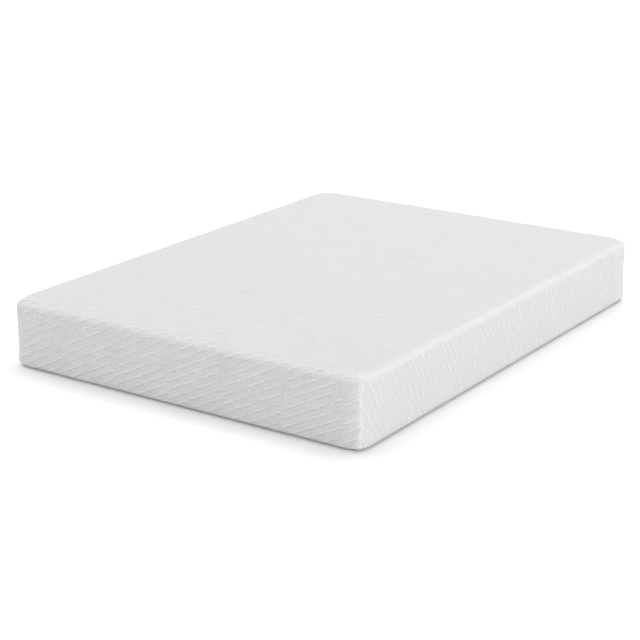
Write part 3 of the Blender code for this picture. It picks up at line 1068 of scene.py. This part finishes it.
def make_coils(material):
    """Each half of the chain is a flattened spiral, half a turn out of step with the other, so they mesh."""
    for half, way in (("lower", -1), ("upper", 1)):
        node = f"zip_coil_{half}"
        low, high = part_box(node)
        turns = (high.x - low.x - 4 * COIL_WIRE) / COIL_PITCH
        angle = np.linspace(0, turns * TURN, round(turns * 12))
        x = low.x + 2 * COIL_WIRE + COIL_PITCH * (angle / TURN + way / 4)
        y = (low.y + high.y) / 2 + 0.55 * MM * np.sin(angle)
        z = ZIP_LEVEL + way * 1.1 * MM + 1.0 * MM * np.cos(angle)
        points, faces = tube(np.stack([x, y, z], -1), COIL_WIRE, 5, (1, 0, 0))
        piece = mesh_object(f"{node}_spiral", points, faces, material)
        add_piece(piece, "zip_coil", node)


def bevelled(node, body, material, width):
    """A copy of a metal part of the frame with its edges rounded off, as plated parts are tumbled."""
    piece = in_scene(f"{node}_finished", bpy.data.objects[node].data.copy())
    bevel = piece.modifiers.new("round", "BEVEL")
    bevel.width = width
    bevel.segments = 3
    bevel.limit_method = "ANGLE"
    bevel.angle_limit = radians(35)
    mesh = bpy.data.meshes.new_from_object(piece.evaluated_get(bpy.context.evaluated_depsgraph_get()))
    piece.modifiers.clear()
    piece.data = mesh
    mesh.materials.clear()
    mesh.materials.append(material)
    smooth(mesh, 40)
    add_piece(piece, "zip_metal", node, body=body)


# ---- labels

# Which side of each label curls up, and how much
LABELS = {"law_label": 0.5, "flammability_label": -0.4}
LABEL_HEM = 11 * MM
LABEL_STITCH_DROP = 7.5 * MM


def make_label(node, lean, material, thread):
    """A blank sewn-in label that hangs a little rumpled, with its top folded over and stitched down."""
    low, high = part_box(node)
    x = np.linspace(low.x, high.x, 31)[None, :]
    z = np.linspace(low.z, high.z, 49)[::-1][:, None]
    drop = (high.z - z) / (high.z - low.z)
    side = (x - (low.x + high.x) / 2) / (high.x - low.x)
    curl = 2.6 * MM * drop ** 2 * (0.35 + side * lean + 1.6 * side ** 2)
    ripple = 0.7 * MM * drop * (1 + np.sin(x / (11 * MM) + drop * 2.5 + lean * 3))
    y = low.y + 0.1 * MM + np.maximum(curl, 0) + ripple
    points = grid_of(x, y, z)[:, ::-1]
    add_sheet(
        f"{node}_cloth", points, points[..., [0, 2]], material, "label_cloth", node, body=node, held="hung"
    )

    fold = np.linspace(0, 1, 9)[:, None]
    z = high.z - LABEL_HEM * fold
    x = np.linspace(low.x - 0.2 * MM, high.x + 0.2 * MM, 31)[None, :]
    rolled = 0.35 * np.sin(pi * np.minimum(fold * 1.45, 1))
    cut_edge = 0.22 * np.sin(pi * np.clip(fold * 3.2 - 2.2, 0, 1))
    y = low.y + (0.25 + (rolled + cut_edge) * (1 + 0.2 * np.sin(x / (3 * MM)))) * MM
    points = grid_of(x, y, z)[:, ::-1]
    add_sheet(
        f"{node}_hem", points, points[..., [0, 2]], material, "label_cloth", body=node, held="folded"
    )

    begin = np.arange(low.x + 1.5 * MM, high.x - 1.5 * MM - STITCH_LENGTH, STITCH_PITCH)
    starts = grid_of(begin, low.y + 0.4 * MM, high.z - LABEL_STITCH_DROP)
    add_stitches(f"{node}_stitches", starts, starts + (STITCH_LENGTH, 0, 0), thread, body=node)


# ---- the base panel and what the cover holds

OVERLOCK_PITCH = 3.4 * MM
OVERLOCK_REACH = 2.4 * MM
SOCK_DEPTH = 4.0 * MM
SOCK_GRID = 9 * MM
FOAM_DEPTH = 5.0 * MM
FOAM_GRID = 14 * MM
LAYER_ARC = 6 * MM
CHANNEL_HALF = 6 * MM
CHANNEL_DEPTH = 15 * MM
CHANNEL_CENTRES = [(number - 7.5) * 120 * MM for number in range(16)]
# Columns close beside each edge of each channel in half the bed, so that its walls stand upright
CHANNEL_EDGES = [
    centre + way * CHANNEL_HALF + beside
    for centre in CHANNEL_CENTRES[8:] for way in (-1, 1) for beside in (-0.1 * MM, 0.1 * MM)
]

# Each layer's node, slot, dark and light colours, and size of cell
FOAMS = (
    ("memory_foam_layer", "memory_foam", (0.62, 0.62, 0.60), (0.86, 0.86, 0.84), 0.9 * MM),
    ("transition_foam_layer", "transition_foam", (0.48, 0.54, 0.60), (0.72, 0.77, 0.82), 1.3 * MM),
    ("support_foam_core", "support_foam", (0.60, 0.55, 0.46), (0.84, 0.79, 0.70), 1.6 * MM),
)


def make_base(grids, material, thread):
    """The panel under the mattress, and the overlocked thread that zigzags over its seam with the cover."""
    points = filled(grids, 0)[:, ::-1]
    rows, cols = (np.linspace(0, count - 1, count // 2).round().astype(int) for count in points.shape[:2])
    points = points[np.ix_(rows, cols)]
    u, v = points[..., 0], points[..., 1]
    edge = np.minimum(BASE_HIGH.x - np.abs(u), BASE_HIGH.y - np.abs(v))
    ripple = 0.25 * MM * (1 + np.sin(u / (37 * MM) + np.sin(v / (90 * MM))) * np.sin(v / (43 * MM)))
    drawn_up = SEAM_LIFT * (1 - steps(edge, 0, SEAM_LIFT_REACH))
    points[..., 2] = 0.1 * MM + drawn_up + ripple * steps(edge, 4 * MM, 30 * MM)
    add_sheet("base_panel", points, points[..., :2], material, "base_knit", "cover_base")

    rim = np.concatenate([grids[side]["points"][0][:-1] for side in ORDER])
    run = run_along(rim)
    count = 2 * round(run[-1] / OVERLOCK_PITCH)
    line = points_at(run, rim, np.linspace(0, run[-1], count, endpoint=False))
    along = np.roll(line, -2, 0) - np.roll(line, 2, 0)
    out = unit(np.stack([along[:, 1], -along[:, 0]], -1))
    way = np.where(np.arange(count) % 2, 1, -1)
    line[:, :2] += out * (way * OVERLOCK_REACH / 2)[:, None]
    line[:, 2] = 0.9 * MM
    verts, faces = tube(line, 0.3 * MM, 5, (0, 0, 1), closed=True)
    add_piece(mesh_object("base_overlock", verts, faces, thread), "base_knit")


def closed_layer(grids):
    """The points of a layer's four sides, its top and its underside."""
    points = {side: grids[side]["points"] for side in ORDER}
    points["top"] = filled(grids, -1)
    points["bottom"] = filled(grids, 0)[:, ::-1].copy()
    return points


def room_for_zip(points, depth):
    """The layers inside stop short of the head end, where the zip's tapes lie."""
    reach = HALF_LENGTH - depth
    points[..., 1] = -reach + (points[..., 1] + reach) * (1 - HEAD_SETBACK / (2 * reach))
    return points


def make_sock(material):
    grids = wall_grids(profile(SOCK_GRID, LAYER_ARC), SOCK_DEPTH, SOCK_GRID, SOCK_GRID, {})
    points = closed_layer(grids)
    crowned(points["top"])
    replaced = ("fire_sock",)
    for name, grid in points.items():
        room_for_zip(grid, SOCK_DEPTH)
        upright = np.stack([grid[..., 0] + grid[..., 1], grid[..., 2]], -1)
        flat = grid[..., :2] if name in ("top", "bottom") else upright
        add_sheet(f"sock_{name}", grid, flat, material, "barrier_knit", *replaced)
        replaced = ()


def foam_rows(low, high, extra=()):
    """The rows of a foam layer's sides between two levels of the frame."""
    inset, level, length = profile(FOAM_GRID, LAYER_ARC)
    scale = HEIGHT / (HEIGHT - 2 * FOAM_DEPTH)
    low, high = (low - FOAM_DEPTH) * scale, (high - FOAM_DEPTH) * scale
    inner = level[(level > low + 3 * MM) & (level < high - 3 * MM)]
    if extra:
        inner = inner[inner > low + extra[0] * scale + 3 * MM]
    levels = np.concatenate([[low], [low + more * scale for more in extra], inner, [high]])
    return np.interp(levels, level, inset), levels, np.interp(levels, level, length)


def make_foam(node, slot, material, channels=False):
    """One foam layer; the one with channels has a row of grooves across its underside for air."""
    low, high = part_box(node)
    marks, extra = {}, ()
    if channels:
        marks = {"right": CHANNEL_EDGES, "left": CHANNEL_EDGES}
        extra = (CHANNEL_DEPTH,)
    grids = wall_grids(foam_rows(low.z, high.z, extra), FOAM_DEPTH, FOAM_GRID, FOAM_GRID, marks)
    points = closed_layer(grids)
    if channels:
        for grid in (points["right"][0], points["left"][0], points["bottom"]):
            gap = np.abs(grid[..., 1:2] - np.array(CHANNEL_CENTRES)).min(-1)
            grid[..., 2] += CHANNEL_DEPTH * (gap < CHANNEL_HALF)
    verts, quads, _ = weld({name: room_for_zip(grid, FOAM_DEPTH) for name, grid in points.items()})
    faces = [list(dict.fromkeys(quad)) for quad in quads.tolist()]
    faces = [face for face in faces if len(face) > 2]
    piece = mesh_object(f"{node}_block", verts, faces, material, angle=35)
    add_piece(piece, slot, node)


# ---- putting it together

make_camera()
make_studio()
cover = cover_look()
thread = thread_look()
label = label_look()
cover_grids = make_cover(cover)
make_hem(cover, thread)
make_tapes(tape_look())
make_coils(coil_look())
metal = metal_look()
for node, (body, width) in METAL.items():
    bevelled(node, body, metal, width)
for node, lean in LABELS.items():
    make_label(node, lean, label, thread)
make_base(cover_grids, base_look(), thread)
make_sock(sock_look())
for node, slot, dark, light, cell in FOAMS:
    foam = foam_look(f"{slot}_cells", dark, light, cell)
    make_foam(node, slot, foam, channels=node == "transition_foam_layer")
